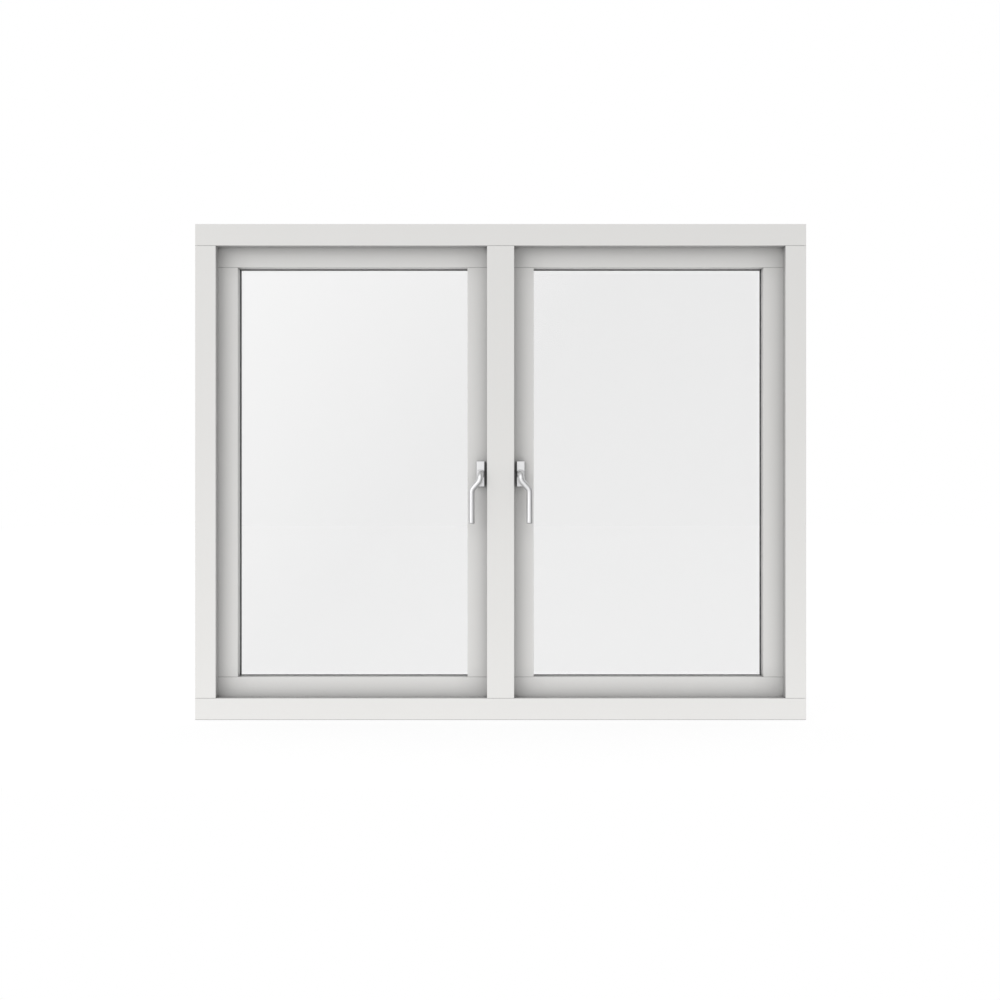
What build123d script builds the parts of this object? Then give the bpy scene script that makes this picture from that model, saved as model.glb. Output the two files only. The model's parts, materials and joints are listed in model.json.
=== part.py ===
from build123d import *
import math
import os

# Two-light timber casement window, with outward-opening side-hung sashes.
# X runs across the window, +Y is outdoors, +Z is up. The origin is the centre of the sill's underside.
# The left sash is modelled, and the right one is its mirror image. All sizes are in millimetres.

# Outer frame
frame_width = 1300.0
frame_height = 1055.0
frame_depth = 110.0
jamb_face = 44.0
head_face = 46.0
sill_face = 46.0
mullion_face = 58.0
stop_depth = 32.0
rebate = 12.0
frame_arris = 1.0

# Sashes
sash_setback = 2.0
rail_face = 50.0
lock_stile_face = 47.0
side_gap = 4.0
lock_gap = 7.0
weather_gap = 4.0
sash_arris = 1.0

# Glazing
bead_depth = 8.0
glazing_rebate = 15.0
pane = 4.0
cavity = 16.0
glazing_gasket = 3.0
gasket_cover = 8.0
bead_splay = 3.0
setting_gap = 4.0
edge_seal_width = 5.0
setting_block_length = 100.0

# Weather gaskets
bulb_width = 4.0
bulb_round = 1.6
bulb_inset = 1.5
bulb_clearance = 0.3
gasket_tongue = 3.0

# Hinges
hinge_height = 100.0
hinge_from_end = 130.0
knuckles = 5
knuckle_gap = 0.3
barrel_radius = 5.0
barrel_clearance = 0.5
hinge_pin_radius = 3.0
pin_button = 1.6
pin_button_round = 0.96
leaf_clearance = 0.4
leaf_depth = 30.0
leaf_screw_inset = 9.0

# Screws
screw_radius = 2.0
screw_head_radius = 4.0
screw_length = 26.0
corner_screw_radius = 3.0
corner_screw_head = 6.0
corner_screw_length = 95.0
corner_screw_from_room = 16.0
corner_screw_from_outside = 25.0
fixing_hole_radius = 4.0
fixing_spacing = 640.0

# Lock
lock_setback = 15.0
faceplate_width = 16.0
faceplate_thickness = 2.5
faceplate_from_end = 90.0
faceplate_screw_insets = (12.0, 48.0)
faceplate_screw_length = 18.0
gear_module = 2.0
pinion_teeth = 11
pressure_angle = 25.0
addendum = 0.9 * gear_module
dedendum = 1.2 * gear_module
backlash = 0.15
pinion_width = 6.0
hub_radius = 6.0
running_clearance = 0.05
case_thickness = 13.0
case_wall = 3.0
case_margin = 3.2
lug_height = 7.0
lug_wall = 6.3
rack_backing = 2.7
rod_thickness = 3.0
strip_width = 8.0
jog_height = 10.0
jog_gap = 2.0
cam_end = 2.0
rod_end_spare = 1.0
cam_margin = 3.0
bolt_throw = 13.0
bolt_from_end = 200.0
bolt_width = 10.0
bolt_height = 14.0
bolt_nose = 8.2
bolt_pin_radius = 2.0
bolt_corner = 1.5
pocket_spare = 1.5
slide_clearance = 0.2
keep_thickness = 1.8
keep_height = 44.0
keep_width = 18.0
keep_screw_inset = 6.0
keep_screw_spare = 3.0

# Handle
spindle_height = 523.5
spindle_size = 7.0
spindle_hole_radius = 5.3
base_width = 17.4
base_depth = 14.0
base_wall = 1.8
base_arris = 1.0
mount_plate = 2.5
plate_edge = 0.55
handle_screw_radius = 2.0
handle_screw_head = 3.2
handle_screw_length = 18.0
collar_radius = 8.6
collar_height = 4.0
collar_round = 1.5
neck_radius = 6.3
neck_bend = 9.0
grip_radius = 7.1
grip_tip_round = 2.6
neck_back_gap = 0.5
neck_lean = 1.0
lever_drop = 106.0
lever_crank = 18.5
crank_top = 14.5
crank_bottom = 34.5
crank_radius = 15.0
handle_projection = 56.0

# Places worked out from the sizes above
room_face = -frame_depth / 2
outer_face = frame_depth / 2
stop_back = room_face + stop_depth
sash_front = stop_back + weather_gap
sash_back = outer_face - sash_setback
light_left = -frame_width / 2 + jamb_face
light_right = -mullion_face / 2
light_bottom = sill_face
light_top = frame_height - head_face
wall_left = light_left - rebate
wall_right = light_right + rebate
wall_bottom = light_bottom - rebate
wall_top = light_top + rebate
sash_left = wall_left + side_gap
sash_right = wall_right - lock_gap
sash_bottom = wall_bottom + side_gap
sash_top = wall_top - side_gap
sight_left = sash_left + rail_face
sight_right = sash_right - lock_stile_face
sight_bottom = sash_bottom + rail_face
sight_top = sash_top - rail_face
bead_front = sash_back - bead_depth
glass_back = bead_front - glazing_gasket
glass_front = glass_back - 2 * pane - cavity
glass_seat = glass_front - glazing_gasket
middle_height = (sash_bottom + sash_top) / 2
hinge_x = (wall_left + sash_left) / 2
hinge_y = outer_face + barrel_clearance + barrel_radius
hinge_heights = (sash_bottom + hinge_from_end, sash_top - hinge_from_end)
leaf_thickness = (side_gap - leaf_clearance) / 2
lock_y = sash_front + lock_setback
plate_back = sash_right - faceplate_thickness
rack_x = (plate_back - 2 * slide_clearance - rack_backing, plate_back - 2 * slide_clearance)
pitch_radius = gear_module * pinion_teeth / 2
pitch_x = rack_x[0] - dedendum
spindle_x = pitch_x - pitch_radius
rod_travel = pitch_radius * math.pi / 2
faceplate_ends = (sash_bottom + faceplate_from_end, sash_top - faceplate_from_end)
bolt_heights = (sash_bottom + bolt_from_end, sash_top - bolt_from_end)
keep_screw_length = mullion_face / 2 - rebate - keep_screw_spare
fixing_heights = (middle_height - fixing_spacing / 2, middle_height + fixing_spacing / 2)
gear_tip = pitch_radius + addendum
screw_drop = gear_tip + 2 * slide_clearance + lug_wall + handle_screw_radius
handle_screw_heights = (spindle_height - screw_drop, spindle_height + screw_drop)
base_half_height = screw_drop + handle_screw_head + plate_edge + slide_clearance + base_wall
base_bottom = spindle_height - base_half_height
base_top = spindle_height + base_half_height
lever_y = sash_front - handle_projection + grip_radius
case_front = lock_y - case_thickness / 2
case_back = lock_y + case_thickness / 2
case_inner = spindle_x - gear_tip - case_margin
lug_low = handle_screw_heights[0] - lug_height / 2
lug_high = handle_screw_heights[1] + lug_height / 2
bolt_tip = sash_right + bolt_throw - slide_clearance
cam_outer = bolt_tip - bolt_nose - bolt_throw - 2 * slide_clearance
cam_pin_x = cam_outer - cam_margin - bolt_pin_radius
cam_inner = cam_pin_x - bolt_throw - bolt_pin_radius - cam_margin
cam_below = bolt_pin_radius + cam_margin + cam_end
cam_above = rod_travel + cam_below
bolt_tail = cam_pin_x - bolt_pin_radius - cam_margin
bolt_room_end = bolt_tail - bolt_throw - 1
strip_x = (cam_outer - strip_width, cam_outer)
jog_low = lug_low - jog_gap
jog_high = lug_high + rod_travel + jog_gap


def block(x, y, z):
    """A box between two places along each axis."""
    low = [min(pair) for pair in (x, y, z)]
    high = [max(pair) for pair in (x, y, z)]
    middle = [(a + b) / 2 for a, b in zip(low, high)]
    return Pos(*middle) * Box(*[b - a for a, b in zip(low, high)])


def bar(start, direction, radius, length):
    """A round bar from a point, along a direction."""
    lengthwise = (Align.CENTER, Align.CENTER, Align.MIN)
    return Plane(origin=start, z_dir=direction) * Cylinder(radius, length, align=lengthwise)


def cut(piece, *tools):
    """The piece without each tool."""
    for tool in tools:
        piece = piece - tool
    return piece


def ease(piece, radius, level, axis=Axis.Y):
    """Rounds the edges of the flat face that lies at one level along an axis."""
    flat = piece.faces().filter_by_position(axis, level - 0.01, level + 0.01)
    return fillet(flat.edges(), radius)


def group(pieces):
    """Separate solids kept in one node."""
    return Compound(children=[solid for piece in pieces for solid in piece.solids()])


def mirrored(piece):
    """The same piece on the other side of the window's centre."""
    return mirror(piece, about=Plane.YZ)


def both_sides(pieces):
    """The left-hand pieces, and their mirror images."""
    return pieces + [mirrored(piece) for piece in pieces]


def countersunk_screw(start, direction, radius, head_radius, length):
    """A screw whose head is flush with the surface at its start, ending in a point."""
    head_height = head_radius - radius
    lengthwise = (Align.CENTER, Align.CENTER, Align.MIN)
    along = Plane(origin=start, z_dir=direction)
    head = along * Cone(head_radius, radius, head_height, align=lengthwise)
    shank_length = length - head_height - radius
    shank = along * Pos(0, 0, head_height) * Cylinder(radius, shank_length, align=lengthwise)
    point = along * Pos(0, 0, length - radius) * Cone(radius, radius / 4, radius, align=lengthwise)
    return head + shank + point


# The fixed frame

def corner_screws():
    """Long screws through the head and the sill into the jambs' and mullion's end grain."""
    jamb_middle = -frame_width / 2 + jamb_face / 2
    screws = []
    for y in (room_face + corner_screw_from_room, outer_face - corner_screw_from_outside):
        for z, up in ((0, 1), (frame_height, -1)):
            screws += both_sides([end_screw(jamb_middle, y, z, up)])
            screws.append(end_screw(0, y, z, up))
    return screws


def end_screw(x, y, z, up):
    """One corner screw, from the top or the bottom of the frame."""
    start = (x, y, z)
    return countersunk_screw(start, (0, 0, up), corner_screw_radius, corner_screw_head,
                             corner_screw_length)


def light_rebate():
    """The space outside the stop, in which the left sash closes."""
    return block((wall_left, wall_right), (stop_back, outer_face + 1), (wall_bottom, wall_top))


def cross_member(low, high):
    """The head or the sill: full width, with each light's rebate cut in it."""
    half = frame_width / 2
    member = ease(block((-half, half), (room_face, outer_face), (low, high)), frame_arris, room_face)
    return cut(member, light_rebate(), mirrored(light_rebate()))


def left_jamb():
    """The left jamb, with the holes of the wall fixings."""
    outside = -frame_width / 2
    member = block((outside, light_left), (room_face, outer_face), (light_bottom, light_top))
    member = ease(member, frame_arris, room_face)
    holes = [bar((outside - 1, 0, z), (1, 0, 0), fixing_hole_radius, jamb_face + 2) for z in fixing_heights]
    return cut(member, light_rebate(), *holes)


def mullion():
    """The fixed post between the lights, with a pocket for each bolt and its keep."""
    half = mullion_face / 2
    member = block((-half, half), (room_face, outer_face), (light_bottom, light_top))
    member = ease(member, frame_arris, room_face)
    pockets = [keep_blank(z) for z in bolt_heights] + [bolt_pocket(z) for z in bolt_heights]
    return cut(member, *both_sides([light_rebate()] + pockets))


def keep_blank(z):
    """The keep's plate before its window is cut."""
    depth = (lock_y - keep_width / 2, lock_y + keep_width / 2)
    height = (z - keep_height / 2, z + keep_height / 2)
    return block((wall_right, wall_right + keep_thickness), depth, height)


def bolt_pocket(z):
    """The space that a thrown bolt enters."""
    reach = bolt_tip + pocket_spare
    half_width = bolt_width / 2 + 2 * slide_clearance
    half_height = bolt_height / 2 + 2 * slide_clearance
    return block((wall_right - 1, reach), (lock_y - half_width, lock_y + half_width),
                 (z - half_height, z + half_height))


def keep(z):
    """A steel plate let into the mullion, with a window for the bolt."""
    return cut(keep_blank(z), bolt_pocket(z), *keep_screws(z))


def keep_screws(z):
    """The keep's two screws."""
    offset = keep_height / 2 - keep_screw_inset
    return [countersunk_screw((wall_right, lock_y, place), (1, 0, 0), screw_radius,
                              screw_head_radius, keep_screw_length) for place in (z - offset, z + offset)]


def gasket_strips():
    """Four lengths of bulb seal in the left light's stop, the uprights between the others."""
    inner_x = (light_left - bulb_inset, light_right + bulb_inset)
    inner_z = (light_bottom - bulb_inset, light_top + bulb_inset)
    outer_x = (inner_x[0] - bulb_width, inner_x[1] + bulb_width)
    outer_z = (inner_z[0] - bulb_width, inner_z[1] + bulb_width)
    runs = [(outer_x, (outer_z[0], inner_z[0])), (outer_x, (inner_z[1], outer_z[1])),
            ((outer_x[0], inner_x[0]), inner_z), ((inner_x[1], outer_x[1]), inner_z)]
    return [gasket_strip(x, z) for x, z in runs]


def gasket_strip(x, z):
    """A rounded bulb on a tongue, which sits in a groove."""
    bulb = block(x, (stop_back, sash_front - bulb_clearance), z)
    lengthwise = Axis.X if x[1] - x[0] > z[1] - z[0] else Axis.Z
    nose = bulb.faces().sort_by(Axis.Y)[-1].edges().filter_by(lengthwise)
    return fillet(nose, bulb_round) + tongue(x, z)


def tongue(x, z):
    """The part of a gasket strip that is pressed into the frame."""
    side = bulb_width / 4
    across_x = x if x[1] - x[0] > z[1] - z[0] else (x[0] + side, x[1] - side)
    across_z = (z[0] + side, z[1] - side) if x[1] - x[0] > z[1] - z[0] else z
    return block(across_x, (stop_back - gasket_tongue, stop_back), across_z)


# Hinges

def knuckle_span(z, index):
    """The height that one knuckle of the hinge centred at z takes."""
    pitch = hinge_height / knuckles
    low = z - hinge_height / 2 + index * pitch
    return (low + knuckle_gap / 2, low + pitch - knuckle_gap / 2)


def hinge_leaf(z, plate_x, own_knuckles, clearance):
    """A leaf in the gap between jamb and sash, reaching to its own knuckles round the pin."""
    plate_end = outer_face - barrel_clearance
    leaf = block(plate_x, (plate_end - leaf_depth, plate_end), (z - hinge_height / 2, z + hinge_height / 2))
    for index in own_knuckles:
        span = knuckle_span(z, index)
        leaf += block(plate_x, (plate_end - 1, hinge_y), span)
        leaf += bar((hinge_x, hinge_y, span[0]), (0, 0, 1), barrel_radius, span[1] - span[0])
    below = (hinge_x, hinge_y, z - hinge_height)
    return leaf - bar(below, (0, 0, 1), hinge_pin_radius + clearance, 2 * hinge_height)


def frame_leaf(z):
    """The leaf on the jamb, with the odd knuckles. The pin is fast in it."""
    leaf = hinge_leaf(z, (wall_left, wall_left + leaf_thickness), range(0, knuckles, 2), 0)
    return cut(leaf, *frame_leaf_screws(z))


def sash_leaf(z):
    """The leaf on the sash, with the even knuckles. It turns on the pin."""
    leaf = hinge_leaf(z, (sash_left - leaf_thickness, sash_left), range(1, knuckles, 2), running_clearance)
    return cut(leaf, *sash_leaf_screws(z))


def leaf_screw_places(z):
    """Depth and height of a leaf's three screws."""
    near = outer_face - barrel_clearance - leaf_depth + leaf_screw_inset
    far = outer_face - barrel_clearance - leaf_screw_inset
    return [(near, z - hinge_height / 3), (far, z), (near, z + hinge_height / 3)]


def frame_leaf_screws(z):
    """Screws from the leaf into the jamb."""
    return [countersunk_screw((wall_left + leaf_thickness, y, height), (-1, 0, 0), screw_radius,
                              screw_head_radius, screw_length) for y, height in leaf_screw_places(z)]


def sash_leaf_screws(z):
    """Screws from the leaf into the sash."""
    return [countersunk_screw((sash_left - leaf_thickness, y, height), (1, 0, 0), screw_radius,
                              screw_head_radius, screw_length) for y, height in leaf_screw_places(z)]


def hinge_pin(z):
    """The pin, with a round button at each end."""
    pin = bar((hinge_x, hinge_y, z - hinge_height / 2), (0, 0, 1), hinge_pin_radius, hinge_height)
    for end, up in ((z - hinge_height / 2, -1), (z + hinge_height / 2, 1)):
        cap = bar((hinge_x, hinge_y, end), (0, 0, up), barrel_radius, pin_button)
        pin += ease(cap, pin_button_round, end + up * pin_button, Axis.Z)
    return pin


# Sash timber

def glass_opening():
    """The glazing rebate's space, open to the outside."""
    return block((sight_left - glazing_rebate, sight_right + glazing_rebate), (glass_seat, sash_back + 1),
                 (sight_bottom - glazing_rebate, sight_top + glazing_rebate))


def sash_rail(z):
    """A top or bottom rail, full width."""
    member = ease(block((sash_left, sash_right), (sash_front, sash_back), z), sash_arris, sash_front)
    return member - glass_opening()


def sash_stile(x):
    """A stile between the rails."""
    member = block(x, (sash_front, sash_back), (sight_bottom, sight_top))
    return ease(member, sash_arris, sash_front) - glass_opening()


def hinge_stile():
    """The stile that carries the hinges."""
    screws = [screw for z in hinge_heights for screw in sash_leaf_screws(z)]
    return cut(sash_stile((sash_left, sight_left)), *screws)


def lock_stile():
    """The stile that holds the lock, with its recesses and the holes of the handle."""
    spindle_hole = bar((spindle_x, sash_front - 1, spindle_height), (0, 1, 0), spindle_hole_radius,
                       lock_setback)
    return cut(sash_stile((sight_right, sash_right)), faceplate_blank(), case_space(), rod_space(),
               spindle_hole, *[bolt_space(z) for z in bolt_heights], *handle_screws(), *faceplate_screws())


# Glazing

def ring(margin, y, width):
    """A rectangular ring round the glass, from a margin outside the sight line."""
    outer = [sight_left - margin - width, sight_right + margin + width,
             sight_bottom - margin - width, sight_top + margin + width]
    whole = block(outer[0:2], y, outer[2:4])
    inner_x = (outer[0] + width, outer[1] - width)
    return whole - block(inner_x, (y[0] - 1, y[1] + 1), (outer[2] + width, outer[3] - width))


def glass_pane(y):
    """One pane, clear of the rebate by the setting gap."""
    cover = glazing_rebate - setting_gap
    return block((sight_left - cover, sight_right + cover), y, (sight_bottom - cover, sight_top + cover))


def glazing_beads():
    """Four beads that hold the glass from outside, their inner faces splayed to shed water."""
    x = (sight_left - glazing_rebate, sight_right + glazing_rebate)
    low = (sight_bottom - glazing_rebate, sight_bottom)
    high = (sight_top, sight_top + glazing_rebate)
    between = (sight_bottom, sight_top)
    runs = [(x, low), (x, high), ((x[0], sight_left), between), ((sight_right, x[1]), between)]
    return [block(across, (bead_front, sash_back), up) & bead_room() for across, up in runs]


def bead_room():
    """Everything outside the glass opening, which widens outwards by the beads' splay."""
    size = (sight_right - sight_left, sight_top - sight_bottom)
    centre = ((sight_left + sight_right) / 2, (sight_bottom + sight_top) / 2)
    mouth = []
    for y, wider in ((bead_front, 0), (sash_back, bead_splay)):
        across = Plane(origin=(centre[0], y, centre[1]), x_dir=(1, 0, 0), z_dir=(0, -1, 0))
        mouth.append(across * Rectangle(size[0] + 2 * wider, size[1] + 2 * wider))
    whole = block((sash_left, sash_right), (bead_front, sash_back), (sash_bottom, sash_top))
    return whole - loft(mouth)


def setting_blocks():
    """Two blocks that carry the glass, at its quarter points."""
    low = sight_bottom - glazing_rebate
    quarter = (sight_right - sight_left) / 4
    blocks = []
    for middle in (sight_left + quarter, sight_right - quarter):
        x = (middle - setting_block_length / 2, middle + setting_block_length / 2)
        blocks.append(block(x, (glass_front, glass_back), (low, low + setting_gap)))
    return blocks


# Lock

def faceplate_blank():
    """The lock's faceplate before its holes are cut."""
    y = (lock_y - faceplate_width / 2, lock_y + faceplate_width / 2)
    return block((plate_back, sash_right), y, faceplate_ends)


def faceplate_screws():
    """Two screws near each end of the faceplate."""
    heights = [faceplate_ends[0] + inset for inset in faceplate_screw_insets]
    heights += [faceplate_ends[1] - inset for inset in faceplate_screw_insets]
    return [countersunk_screw((sash_right, lock_y, z), (-1, 0, 0), screw_radius,
                              screw_head_radius, faceplate_screw_length) for z in heights]


def bolt_window(z, clearance):
    """The room that a bolt's section needs, all along X."""
    half_width = bolt_width / 2 + clearance
    half_height = bolt_height / 2 + clearance
    return block((bolt_room_end, sash_right + 1), (lock_y - half_width, lock_y + half_width),
                 (z - half_height, z + half_height))


def faceplate():
    """The flush steel plate in the sash's edge, with a window for each bolt."""
    return cut(faceplate_blank(), *[bolt_window(z, slide_clearance) for z in bolt_heights],
               *faceplate_screws())


def case_space():
    """The pocket for the gearbox in the lock stile."""
    spare = slide_clearance
    return block((case_inner - spare, sash_right), (case_front - spare, case_back + spare),
                 (lug_low - spare, lug_high + spare))


def gearbox():
    """The gearbox case and its cover, with a bearing for the pinion in each."""
    cover_front = case_back - case_wall
    outside = block((case_inner, plate_back), (case_front, case_back), (lug_low, lug_high))
    gear_room = bar((spindle_x, case_front + case_wall, spindle_height), (0, 1, 0),
                    gear_tip + 2 * slide_clearance, case_thickness - 2 * case_wall)
    rack_room = block((pitch_x - addendum - 0.5, plate_back + 1), (case_front + case_wall, cover_front),
                      (lug_low - 1, lug_high + 1))
    bearing = bar((spindle_x, case_front - 1, spindle_height), (0, 1, 0), hub_radius + running_clearance,
                  case_thickness + 2)
    body = cut(outside, gear_room, rack_room, bearing, *handle_screws())
    behind = block((case_inner - 1, plate_back + 1), (cover_front, case_back + 1),
                   (lug_low - 1, lug_high + 1))
    return [body - behind, body & behind]


def pinion():
    """The gear on the spindle, with involute teeth and a hub at each side."""
    gear = extrude(Plane.XZ * pinion_outline(), amount=pinion_width / 2, both=True)
    hub = bar((0, -case_thickness / 2, 0), (0, 1, 0), hub_radius, case_thickness)
    socket = Box(spindle_size, case_thickness + 2, spindle_size)
    return Pos(spindle_x, lock_y, spindle_height) * (gear + hub - socket)


def pinion_outline():
    """The gear's outline round the origin, with one tooth centred on +X."""
    base_radius = pitch_radius * math.cos(math.radians(pressure_angle))
    root_radius = pitch_radius - dedendum
    half_tooth = math.pi / (2 * pinion_teeth) - backlash / (2 * pitch_radius)
    at_pitch = involute_angle(pitch_radius, base_radius)
    steps = 6
    radii = [base_radius + (gear_tip - base_radius) * i / steps for i in range(steps + 1)]
    flank = [(r, half_tooth + at_pitch - involute_angle(r, base_radius)) for r in radii]
    flank = [(root_radius, flank[0][1])] + flank
    points = []
    for tooth in range(pinion_teeth):
        middle = 2 * math.pi * tooth / pinion_teeth
        points += [polar(r, middle - angle) for r, angle in flank]
        points += [polar(r, middle + angle) for r, angle in reversed(flank)]
    return make_face(Polyline(*points, close=True))


def involute_angle(radius, base_radius):
    """How far round an involute has turned at a radius."""
    roll = math.sqrt(max((radius / base_radius) ** 2 - 1, 0))
    return roll - math.atan(roll)


def polar(radius, angle):
    """A point from its radius and angle."""
    return (radius * math.cos(angle), radius * math.sin(angle))


def rod_space():
    """The groove behind the faceplate, with room for the cam plates to travel."""
    y = (lock_y - rod_thickness / 2 - slide_clearance, lock_y + rod_thickness / 2 + slide_clearance)
    low = bolt_heights[0] - cam_below - rod_travel - rod_end_spare
    high = bolt_heights[1] + cam_above + 1
    space = block((strip_x[0] - 1, plate_back), y, (low, high))
    for z in bolt_heights:
        height = (z - cam_below - rod_travel - rod_end_spare, z + cam_above + rod_end_spare)
        space += block((cam_inner - 1, plate_back), y, height)
    return space


def bolt_space(z):
    """The guide for a bolt inside the stile."""
    return bolt_window(z, slide_clearance) & block((bolt_room_end, plate_back), (room_face, outer_face),
                                                   (sash_bottom, sash_top))


def drive_rod():
    """The flat rod that the rack moves, with a cam plate for each bolt."""
    y = (lock_y - rod_thickness / 2, lock_y + rod_thickness / 2)
    rod = block(rack_x, y, (jog_low - jog_height, jog_high + jog_height))
    rod += rack_teeth()
    rod += block((strip_x[0], rack_x[1]), y, (jog_low - jog_height, jog_low))
    rod += block((strip_x[0], rack_x[1]), y, (jog_high, jog_high + jog_height))
    rod += block(strip_x, y, (bolt_heights[0], jog_low))
    rod += block(strip_x, y, (jog_high, bolt_heights[1]))
    for z in bolt_heights:
        rod += block((cam_inner, cam_outer), y, (z - cam_below, z + cam_above))
        rod -= cam_slot(z)
    return rod


def rack_teeth():
    """Straight-flanked teeth that mesh with the pinion over its quarter turn."""
    pitch = math.pi * gear_module
    lean = math.tan(math.radians(pressure_angle))
    at_root = pitch / 4 + dedendum * lean - backlash / 2
    at_tip = pitch / 4 - addendum * lean - backlash / 2
    below = 2
    above = math.ceil(rod_travel / pitch) + 2
    y = rod_thickness / 2
    teeth = []
    for index in range(-below, above):
        z = spindle_height + (index + 0.5) * pitch
        outline = Polyline((rack_x[0], z - at_root), (pitch_x - addendum, z - at_tip),
                           (pitch_x - addendum, z + at_tip), (rack_x[0], z + at_root), close=True)
        tooth = extrude(Plane.XZ * make_face(outline), amount=y, both=True)
        teeth.append(Pos(0, lock_y, 0) * tooth)
    return teeth


def cam_slot(z):
    """The inclined slot that draws a bolt back as the rod goes down."""
    travel = math.hypot(bolt_throw, rod_travel)
    lean = math.degrees(math.atan2(rod_travel, -bolt_throw))
    slot = SlotCenterToCenter(travel, 2 * (bolt_pin_radius + running_clearance), rotation=lean)
    middle = (cam_pin_x - bolt_throw / 2, z + rod_travel / 2)
    return Pos(0, lock_y, 0) * extrude(Plane.XZ * Pos(*middle) * slot, amount=rod_thickness, both=True)


def lock_bolt(z):
    """A bolt whose forked tail straddles the rod's cam plate, and the pin across the fork."""
    y = (lock_y - bolt_width / 2, lock_y + bolt_width / 2)
    body = block((bolt_tail, bolt_tip), y, (z - bolt_height / 2, z + bolt_height / 2))
    tip = body.faces().sort_by(Axis.X)[-1]
    body = fillet(tip.edges().filter_by(Axis.Z), bolt_corner)
    half = rod_thickness / 2 + slide_clearance
    fork = block((bolt_tail - 1, bolt_tip - bolt_nose), (lock_y - half, lock_y + half),
                 (z - bolt_height, z + bolt_height))
    pin = bar((cam_pin_x, y[0], z), (0, 1, 0), bolt_pin_radius, bolt_width)
    return [body - fork - pin, pin]


# Handle

def handle_screws():
    """The two machine screws that pass from the mounting plate into the gearbox's lugs."""
    return [countersunk_screw((spindle_x, sash_front - mount_plate, z), (0, 1, 0), handle_screw_radius,
                              handle_screw_head, handle_screw_length) for z in handle_screw_heights]


def handle_plate():
    """The plate under the cover, screwed through the sash."""
    half = base_width / 2 - base_wall - slide_clearance
    inset = base_wall + slide_clearance
    plate = block((spindle_x - half, spindle_x + half), (sash_front - mount_plate, sash_front),
                  (base_bottom + inset, base_top - inset))
    hole = bar((spindle_x, sash_front - base_depth, spindle_height), (0, 1, 0), spindle_hole_radius,
               2 * base_depth)
    return cut(plate, hole, *handle_screws())


def handle_cover():
    """The hollow base that is seen, with the collar that the lever's neck turns in."""
    half = base_width / 2
    top = sash_front - base_depth
    shell = block((spindle_x - half, spindle_x + half), (top, sash_front), (base_bottom, base_top))
    inside = half - base_wall
    hollow = block((spindle_x - inside, spindle_x + inside), (top + base_wall, sash_front + 1),
                   (base_bottom + base_wall, base_top - base_wall))
    shell = ease(shell, base_arris, top) - hollow
    boss_depth = base_depth - mount_plate - 1
    boss = bar((spindle_x, top, spindle_height), (0, 1, 0), collar_radius, boss_depth)
    ring_top = top - collar_height
    collar = ease(bar((spindle_x, ring_top, spindle_height), (0, 1, 0), collar_radius, collar_height),
                  collar_round, ring_top)
    bore = bar((spindle_x, ring_top - 1, spindle_height), (0, 1, 0), neck_radius + running_clearance,
               2 * base_depth)
    return shell + boss + collar - bore


def handle_lever():
    """A round bar that comes out of the collar, bends down and cranks sideways to a thicker grip."""
    neck_end = sash_front - mount_plate - neck_back_gap
    bar_end = -lever_drop + 2 * grip_radius
    corners = [(0, neck_end, 0), (0, lever_y, 0), (-neck_lean, lever_y, -crank_top),
               (-lever_crank, lever_y, -crank_bottom), (-lever_crank, lever_y, bar_end)]
    path = FilletPolyline(*corners, radius=[neck_bend, crank_radius, crank_radius])
    lever = sweep(Plane(origin=corners[0], z_dir=(0, -1, 0)) * Circle(neck_radius), path=path)
    turn = math.atan2(lever_crank - neck_lean, crank_bottom - crank_top)
    grip_top = crank_bottom + crank_radius * math.tan(turn / 2)
    lengthwise = (Align.CENTER, Align.CENTER, Align.MIN)
    grip = Cone(neck_radius, grip_radius, lever_drop - grip_top, align=lengthwise)
    grip = fillet(grip.edges().sort_by(Axis.Z)[-1], grip_tip_round)
    lever += Plane(origin=(-lever_crank, lever_y, -grip_top), z_dir=(0, 0, -1)) * grip
    return Pos(spindle_x, 0, spindle_height) * lever - spindle()


def spindle():
    """The square bar from the lever's neck to the far side of the gearbox."""
    half = spindle_size / 2
    front = sash_front - base_depth - collar_height
    return block((spindle_x - half, spindle_x + half), (front, case_back),
                 (spindle_height - half, spindle_height + half))


def left_sash():
    """Every piece of the left sash, by name."""
    spacer_y = (glass_front + pane, glass_back - pane)
    spacer_width = glazing_rebate - setting_gap - edge_seal_width
    return {
        "top_rail": sash_rail((sight_top, sash_top)),
        "bottom_rail": sash_rail((sash_bottom, sight_bottom)),
        "hinge_stile": hinge_stile(),
        "lock_stile": lock_stile(),
        "inner_pane": glass_pane((glass_front, glass_front + pane)),
        "outer_pane": glass_pane((glass_back - pane, glass_back)),
        "spacer": ring(0, spacer_y, spacer_width),
        "edge_seal": ring(spacer_width, spacer_y, edge_seal_width),
        "setting_blocks": group(setting_blocks()),
        "inner_glazing_gasket": ring(0, (glass_seat, glass_front), gasket_cover),
        "outer_glazing_gasket": ring(0, (glass_back, bead_front), gasket_cover),
        "glazing_beads": group(glazing_beads()),
        "hinge_leaves": group([sash_leaf(z) for z in hinge_heights]),
        "hardware_screws": group([screw for z in hinge_heights for screw in sash_leaf_screws(z)]
                                 + faceplate_screws()),
        "faceplate": faceplate(),
        "gearbox_case": group(gearbox()),
        "drive_rod": drive_rod(),
        "lock_bolts": group([piece for z in bolt_heights for piece in lock_bolt(z)]),
        "handle_plate": handle_plate(),
        "handle_cover": handle_cover(),
        "handle_screws": group(handle_screws()),
        "handle_lever": handle_lever(),
        "spindle": spindle(),
        "pinion": pinion(),
    }


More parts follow.
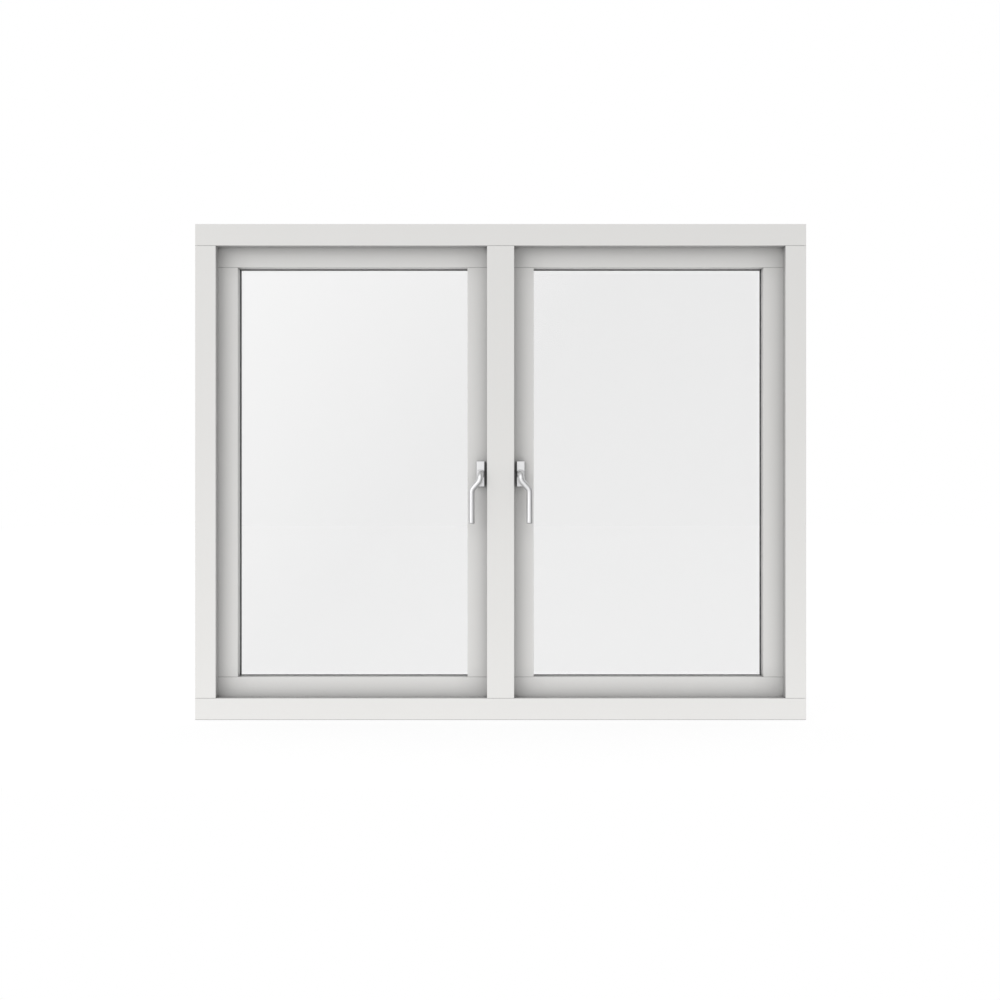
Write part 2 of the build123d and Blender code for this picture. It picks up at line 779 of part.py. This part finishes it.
def fixed_frame():
    """Every piece of the fixed frame, by name."""
    strips = both_sides(gasket_strips())
    screws = corner_screws()
    keep_fixings = both_sides([screw for z in bolt_heights for screw in keep_screws(z)])
    hinge_fixings = both_sides([screw for z in hinge_heights for screw in frame_leaf_screws(z)])
    tools = strips + screws + keep_fixings
    jamb = cut(left_jamb(), *tools, *[screw for z in hinge_heights for screw in frame_leaf_screws(z)])
    return {
        "frame_head": cut(cross_member(light_top, frame_height), *tools),
        "frame_sill": cut(cross_member(0, light_bottom), *tools),
        "left_jamb": jamb,
        "right_jamb": mirrored(jamb),
        "mullion": cut(mullion(), *tools),
        "frame_corner_screws": group(screws),
        "weather_gaskets": group(strips),
        "bolt_keeps": group(both_sides([keep(z) for z in bolt_heights])),
        "frame_hinge_leaves": group(both_sides([frame_leaf(z) for z in hinge_heights])),
        "frame_hardware_screws": group(hinge_fixings + keep_fixings),
        "hinge_pins": group(both_sides([hinge_pin(z) for z in hinge_heights])),
    }


os.makedirs("parts", exist_ok=True)
nodes = fixed_frame()
for name, piece in left_sash().items():
    nodes["left_" + name] = piece
    nodes["right_" + name] = mirrored(piece)
for name, piece in nodes.items():
    export_step(piece, f"parts/{name}.step")
print(len(nodes), "nodes written")
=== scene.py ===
import json
import math

import bpy
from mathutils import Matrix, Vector


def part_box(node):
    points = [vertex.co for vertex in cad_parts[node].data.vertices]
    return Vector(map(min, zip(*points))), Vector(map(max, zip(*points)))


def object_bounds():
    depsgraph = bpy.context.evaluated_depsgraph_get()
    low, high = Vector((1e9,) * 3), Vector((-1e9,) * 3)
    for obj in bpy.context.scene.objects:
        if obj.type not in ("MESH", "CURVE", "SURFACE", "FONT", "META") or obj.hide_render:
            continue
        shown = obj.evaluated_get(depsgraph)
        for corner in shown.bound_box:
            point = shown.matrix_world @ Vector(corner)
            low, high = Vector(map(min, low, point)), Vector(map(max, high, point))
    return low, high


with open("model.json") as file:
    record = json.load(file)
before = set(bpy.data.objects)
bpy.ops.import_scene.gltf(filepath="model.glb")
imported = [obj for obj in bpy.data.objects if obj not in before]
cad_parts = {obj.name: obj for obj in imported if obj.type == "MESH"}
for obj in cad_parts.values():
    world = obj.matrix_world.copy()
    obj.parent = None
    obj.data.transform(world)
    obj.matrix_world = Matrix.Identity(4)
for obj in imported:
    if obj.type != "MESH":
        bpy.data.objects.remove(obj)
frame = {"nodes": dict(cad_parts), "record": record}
cad_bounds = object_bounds()

# Camera: square on to the room side, a little below the window's middle
LENS = 67.7
CAMERA_DISTANCE = 4.0
CAMERA_ACROSS = -0.0013
CAMERA_BELOW_MIDDLE = 0.0597

# Stage
FLOOR_NEAR = -1.0
FLOOR_FAR = 30.0
FLOOR_HALF_WIDTH = 8.0
FLOOR_DROP = 0.0005
FLOOR_GLOW = 0.87
KEY_PLACE = (-3.4, -4.8, 2.2)
KEY_SIZE = (3.0, 3.0)
KEY_POWER = 43.0

# Surroundings: directions in the world, and how bright each part of them is
LIT_SIDE = (-0.45, 0.75, 0.5)
DARKEST_WALL = 0.58
GLASS_GLOW_SIDE = (-0.70, -0.35, 0.62)
GLASS_GLOW = 0.72
LOW_GLOW = 0.20
METAL_GLOW_SIDE = (-0.34, -0.90, 0.20)
METAL_GLOW = 1.08
METAL_DARK = 0.22

# Paint, and the shade painted into it
PAINT = (0.845, 0.838, 0.822, 1.0)
WORN_PAINT = (0.74, 0.725, 0.69, 1.0)
# The grey painted into recesses of the paint as shade
RECESS_SHADE = (0.10, 0.10, 0.105, 1.0)
# The colours painted into fine joints and narrow gaps as shade
JOINT_SHADE = (0.05, 0.05, 0.05, 1.0)
GAP_SHADE = (0.02, 0.02, 0.021, 1.0)
SASH_SHADING = 0.3
REVEAL_SHADING = 0.56
RECESS_REACH = 0.07
OUTLINE_MARGIN = 0.005


def material(name):
    """A new material with its node tree and its shader."""
    made = bpy.data.materials.new(name)
    made.use_nodes = True
    return made, made.node_tree, made.node_tree.nodes["Principled BSDF"]


def fill(tree, socket, value):
    """Links an output into a socket, or sets the socket's own value."""
    if isinstance(value, bpy.types.NodeSocket):
        tree.links.new(value, socket)
    else:
        socket.default_value = value


def add(tree, kind, values, **settings):
    """Adds one node, with its settings and its inputs, and returns it."""
    node = tree.nodes.new(kind)
    for name, value in settings.items():
        setattr(node, name, value)
    for name, value in values.items():
        fill(tree, node.inputs[name], value)
    return node


def set_shader(tree, shader, **values):
    """Sets or links the shader's inputs. An underscore in a name stands for a space."""
    for name, value in values.items():
        fill(tree, shader.inputs[name.replace("_", " ")], value)


def stretched(tree, scale):
    """The object's own coordinates, scaled apart along each axis."""
    place = add(tree, "ShaderNodeTexCoord", {})
    values = {"Vector": place.outputs["Object"], "Scale": scale}
    return add(tree, "ShaderNodeMapping", values).outputs["Vector"]


def noise(tree, vector, scale, detail=3.0, roughness=0.5):
    """Noise from 0 to 1."""
    values = {"Vector": vector, "Scale": scale, "Detail": detail, "Roughness": roughness}
    return add(tree, "ShaderNodeTexNoise", values).outputs["Fac"]


def ranged(tree, value, low, high, to_low, to_high):
    """Maps a value from one range to another."""
    values = {"Value": value, "From Min": low, "From Max": high, "To Min": to_low, "To Max": to_high}
    return add(tree, "ShaderNodeMapRange", values).outputs["Result"]


def mixed(tree, factor, first, second, blend="MIX"):
    """Mixes two colours."""
    node = tree.nodes.new("ShaderNodeMix")
    node.data_type = "RGBA"
    node.blend_type = blend
    fill(tree, node.inputs["Factor"], factor)
    colours = [socket for socket in node.inputs if socket.type == "RGBA"]
    fill(tree, colours[0], first)
    fill(tree, colours[1], second)
    return [socket for socket in node.outputs if socket.type == "RGBA"][0]


def blended(tree, factor, first, second):
    """One value or another, or a mix of both."""
    return add(tree, "ShaderNodeMix", {"Factor": factor, "A": first, "B": second}).outputs["Result"]


def combined(tree, operation, first, second):
    """Two values added, multiplied or compared."""
    return add(tree, "ShaderNodeMath", {0: first, 1: second}, operation=operation).outputs["Value"]


def along(tree, place, direction):
    """How far a direction of the world lies along another, from -1 to 1."""
    values = {0: place, 1: Vector(direction).normalized()}
    return add(tree, "ShaderNodeVectorMath", values, operation="DOT_PRODUCT").outputs["Value"]


def bumped(tree, height, depth, strength=1.0, under=None):
    """A normal from a height, in metres, over another normal if one is given."""
    values = {"Height": height, "Distance": depth, "Strength": strength}
    if under:
        values["Normal"] = under
    return add(tree, "ShaderNodeBump", values).outputs["Normal"]


def nearness(tree, distance, low, high, amount):
    """How closed in a surface is, from 0 in the open to an amount where others stand close round it."""
    node = add(tree, "ShaderNodeAmbientOcclusion", {"Distance": distance}, samples=8)
    return ranged(tree, node.outputs["AO"], low, high, amount, 0.0)


def reveal_faces(tree):
    """1 on faces inside the frame's outline that look sideways, up or down, and 0 on the others."""
    normal = add(tree, "ShaderNodeNewGeometry", {}).outputs["Normal"]
    parts = add(tree, "ShaderNodeSeparateXYZ", {"Vector": normal})
    flat = add(tree, "ShaderNodeMath", {0: parts.outputs["Y"]}, operation="ABSOLUTE").outputs["Value"]
    sideways = ranged(tree, flat, 0.5, 0.9, 1.0, 0.0)
    place = add(tree, "ShaderNodeTexCoord", {}).outputs["Object"]
    place = add(tree, "ShaderNodeSeparateXYZ", {"Vector": place})
    across = add(tree, "ShaderNodeMath", {0: place.outputs["X"]}, operation="ABSOLUTE").outputs["Value"]
    inside = combined(tree, "LESS_THAN", across, cad_bounds[1][0] - OUTLINE_MARGIN)
    return combined(tree, "MULTIPLY", sideways, inside)


def crevice_shaded(tree, colour):
    """A colour with painted shade in fine joints and in narrow gaps, where other surfaces stand close."""
    joints = mixed(tree, nearness(tree, 0.003, 0.55, 0.8, 0.55), colour, JOINT_SHADE)
    return mixed(tree, nearness(tree, 0.02, 0.06, 0.42, 0.93), joints, GAP_SHADE)


def painted_timber(name, length_axis, part):
    """White satin paint on planed softwood: brush marks along the grain, faint grain under them.
    It is greyer in recesses, where shade is painted in: the closer other parts stand round it, the greyer."""
    made, tree, shader = material(name)
    brush = [700.0, 700.0, 700.0]
    grain = [60.0, 60.0, 60.0]
    brush[length_axis] = 9.0
    grain[length_axis] = 1.6
    strokes = noise(tree, stretched(tree, brush), 1.0, 3.0, 0.55)
    growth = noise(tree, stretched(tree, grain), 1.0, 4.0, 0.6)
    patches = noise(tree, stretched(tree, (1, 1, 1)), 9.0, 2.0)
    tone = ranged(tree, patches, 0.3, 0.7, 0.0, 0.05)
    paint = mixed(tree, tone, PAINT, WORN_PAINT)
    # Painted shade: the paint is mixed towards a grey where other parts stand close round it
    recess = nearness(tree, RECESS_REACH, 0.5, 0.95, SASH_SHADING)
    if part == "frame":
        recess = combined(tree, "MULTIPLY", nearness(tree, RECESS_REACH, 0.75, 1.0, REVEAL_SHADING),
                          reveal_faces(tree))
    # Painted shade in fine joints and narrow gaps goes over the paint
    paint = crevice_shaded(tree, mixed(tree, recess, paint, RECESS_SHADE))
    rough = ranged(tree, strokes, 0.25, 0.75, 0.34, 0.46)
    relief = bumped(tree, growth, 0.00012)
    set_shader(tree, shader, Base_Color=paint, Roughness=rough,
               Normal=bumped(tree, strokes, 0.00005, under=relief))
    return made


def clear_glass():
    """Float glass, very slightly grey, with the faint waves that show in its reflections."""
    made, tree, shader = material("clear_glass")
    waves = noise(tree, stretched(tree, (1, 1, 1)), 2.4, 1.0)
    set_shader(tree, shader, Base_Color=(0.98, 0.98, 0.98, 1.0), Transmission_Weight=1.0, IOR=1.5,
               Roughness=0.0, Normal=bumped(tree, waves, 0.0004, 0.3))
    return made


def rubber(name, colour):
    """Extruded rubber, matt, with a fine skin."""
    made, tree, shader = material(name)
    skin = noise(tree, stretched(tree, (1, 1, 1)), 900.0, 2.0)
    patches = noise(tree, stretched(tree, (1, 1, 1)), 25.0, 2.0)
    lighter = tuple(min(1.0, channel * 1.5 + 0.01) for channel in colour[:3]) + (1.0,)
    tone = mixed(tree, ranged(tree, patches, 0.35, 0.7, 0.0, 1.0), colour, lighter)
    rough = ranged(tree, skin, 0.3, 0.7, 0.55, 0.75)
    set_shader(tree, shader, Base_Color=tone, Roughness=rough, Normal=bumped(tree, skin, 0.00008))
    return made


def worked_metal(name, colour, dark, rough, scale, depth):
    """Metal with fine marks: stretched for a brushed finish, even for a cast or satin one."""
    made, tree, shader = material(name)
    marks = noise(tree, stretched(tree, scale), 1.0, 3.0, 0.6)
    patches = noise(tree, stretched(tree, (1, 1, 1)), 45.0, 2.0)
    tone = mixed(tree, ranged(tree, marks, 0.3, 0.7, 0.0, 1.0), dark, colour)
    # The metal's colour has painted shade in its fine joints and narrow gaps
    set_shader(tree, shader, Base_Color=crevice_shaded(tree, tone), Metallic=1.0, Normal=bumped(tree, marks, depth),
               Roughness=ranged(tree, patches, 0.3, 0.7, rough * 0.85, rough * 1.2))
    return made


def plastic(name, colour, rough):
    """Moulded plastic with a faint grain."""
    made, tree, shader = material(name)
    grain = noise(tree, stretched(tree, (1, 1, 1)), 700.0, 2.0)
    tone = mixed(tree, ranged(tree, grain, 0.3, 0.7, 0.0, 0.2), colour, (0.3, 0.3, 0.3, 1.0))
    set_shader(tree, shader, Base_Color=tone, Roughness=rough, Normal=bumped(tree, grain, 0.00004))
    return made


def finishes():
    """The material of each slot in the record."""
    return {
        "glass": clear_glass(),
        "black_spacer": rubber("black_spacer", (0.012, 0.012, 0.013, 1.0)),
        "black_rubber": rubber("black_rubber", (0.012, 0.012, 0.012, 1.0)),
        "grey_seal": rubber("grey_seal", (0.42, 0.42, 0.41, 1.0)),
        "block_plastic": plastic("block_plastic", (0.04, 0.10, 0.26, 1.0), 0.4),
        "hinge_steel": worked_metal("hinge_steel", (0.66, 0.65, 0.63, 1.0), (0.5, 0.5, 0.49, 1.0), 0.32,
                                    (400, 400, 14), 0.00002),
        "zinc_steel": worked_metal("zinc_steel", (0.62, 0.63, 0.65, 1.0), (0.48, 0.49, 0.52, 1.0), 0.30,
                                   (160, 160, 160), 0.00001),
        "gear_steel": worked_metal("gear_steel", (0.45, 0.45, 0.46, 1.0), (0.33, 0.33, 0.34, 1.0), 0.38,
                                   (300, 300, 300), 0.00001),
        "cast_zinc": worked_metal("cast_zinc", (0.5, 0.5, 0.5, 1.0), (0.4, 0.4, 0.4, 1.0), 0.5,
                                  (500, 500, 500), 0.00005),
        "satin_aluminium": worked_metal("satin_aluminium", (0.86, 0.86, 0.865, 1.0),
                                        (0.78, 0.78, 0.785, 1.0), 0.36, (900, 900, 900), 0.000008),
    }


def finish_nodes():
    """Gives each CAD node the material of its slot. Timber takes the one that runs along its length."""
    slots = {part["node"]: part["material_slot"] for part in frame["record"]["subparts"]}
    made = finishes()
    fixed = frame["record"]["behaviour"]["bodies"]["frame"]
    timber = {}
    for part in ("frame", "sash"):
        timber[part, "across"] = painted_timber("paint_across_" + part, 0, part)
        timber[part, "upright"] = painted_timber("paint_upright_" + part, 2, part)
    for name, piece in frame["nodes"].items():
        slot = slots[name]
        chosen = made.get(slot)
        if slot == "painted_timber":
            low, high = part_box(name)
            part = "frame" if name in fixed else "sash"
            chosen = timber[part, "across" if high.x - low.x > high.z - low.z else "upright"]
        piece.data.materials.clear()
        piece.data.materials.append(chosen)


def floor():
    """A plain white studio floor, which glows just enough to meet the white background without a line."""
    made, tree, shader = material("studio_white")
    set_shader(tree, shader, Base_Color=(0.15, 0.15, 0.15, 1.0), Roughness=0.9, Specular_IOR_Level=0.0,
               Emission_Color=(1.0, 1.0, 1.0, 1.0), Emission_Strength=FLOOR_GLOW)
    level = cad_bounds[0][2] - FLOOR_DROP
    corners = [(x, y, level) for x, y in ((-FLOOR_HALF_WIDTH, FLOOR_NEAR), (FLOOR_HALF_WIDTH, FLOOR_NEAR),
                                          (FLOOR_HALF_WIDTH, FLOOR_FAR), (-FLOOR_HALF_WIDTH, FLOOR_FAR))]
    mesh = bpy.data.meshes.new("studio_floor")
    mesh.from_pydata(corners, [], [(0, 1, 2, 3)])
    mesh.materials.append(made)
    plane = bpy.data.objects.new("studio_floor", mesh)
    bpy.context.scene.collection.objects.link(plane)
    plane.visible_glossy = False


def surroundings():
    """A white studio, brighter outdoors than in the room. Sharp reflections, which only the glass has, show
    a dark recess behind the camera with soft light at its upper left and low down. Blurred ones, in metal
    and paint, show a soft light to the left of the camera. What is seen directly or through the glass is
    white."""
    world = bpy.data.worlds.new("studio")
    bpy.context.scene.world = world
    world.use_nodes = True
    tree = world.node_tree
    place = add(tree, "ShaderNodeTexCoord", {}).outputs["Generated"]
    walls = ranged(tree, along(tree, place, LIT_SIDE), -0.9, 0.35, DARKEST_WALL, 1.0)
    corner = ranged(tree, along(tree, place, GLASS_GLOW_SIDE), 0.385, 0.52, 0.0, GLASS_GLOW)
    below = ranged(tree, along(tree, place, (0.0, 0.0, -1.0)), -0.125, 0.10, 0.0, LOW_GLOW)
    behind_camera = ranged(tree, along(tree, place, (0.0, -1.0, 0.0)), 0.955, 0.972, 0.0, 1.0)
    recess = blended(tree, behind_camera, 1.0, combined(tree, "ADD", corner, below))
    softbox = ranged(tree, along(tree, place, METAL_GLOW_SIDE), 0.0, 0.97, METAL_DARK, METAL_GLOW)
    ray = add(tree, "ShaderNodeLightPath", {})
    level = blended(tree, ray.outputs["Is Glossy Ray"], walls, softbox)
    reflected = combined(tree, "GREATER_THAN", ray.outputs["Glossy Depth"], 0.5)
    in_glass = blended(tree, reflected, 1.0, recess)
    level = blended(tree, ray.outputs["Is Singular Ray"], level, in_glass)
    level = combined(tree, "MAXIMUM", level, ray.outputs["Is Camera Ray"])
    tree.nodes["Background"].inputs["Color"].default_value = (1.0, 1.0, 1.0, 1.0)
    fill(tree, tree.nodes["Background"].inputs["Strength"], level)


def key_light(middle):
    """A large soft light from the left of the room side, not seen by the camera."""
    light = bpy.data.lights.new("key", "AREA")
    light.shape = "RECTANGLE"
    light.size, light.size_y = KEY_SIZE
    light.energy = KEY_POWER
    lamp = bpy.data.objects.new("key", light)
    lamp.location = KEY_PLACE
    lamp.rotation_euler = (Vector(middle) - Vector(KEY_PLACE)).to_track_quat("-Z", "Y").to_euler()
    lamp.visible_camera = False
    bpy.context.scene.collection.objects.link(lamp)


def camera(low, high):
    """The view square on to the room side."""
    data = bpy.data.cameras.new("camera")
    data.lens = LENS
    eye = bpy.data.objects.new("camera", data)
    middle = (low.z + high.z) / 2
    room_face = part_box("frame_head")[0].y
    eye.location = (CAMERA_ACROSS, room_face - CAMERA_DISTANCE, middle - CAMERA_BELOW_MIDDLE)
    eye.rotation_euler = (math.pi / 2, 0, 0)
    bpy.context.scene.collection.objects.link(eye)
    bpy.context.scene.camera = eye


low, high = (Vector(corner) for corner in cad_bounds)
finish_nodes()
floor()
surroundings()
key_light((low + high) / 2)
camera(low, high)
bpy.context.scene.view_settings.view_transform = "Standard"
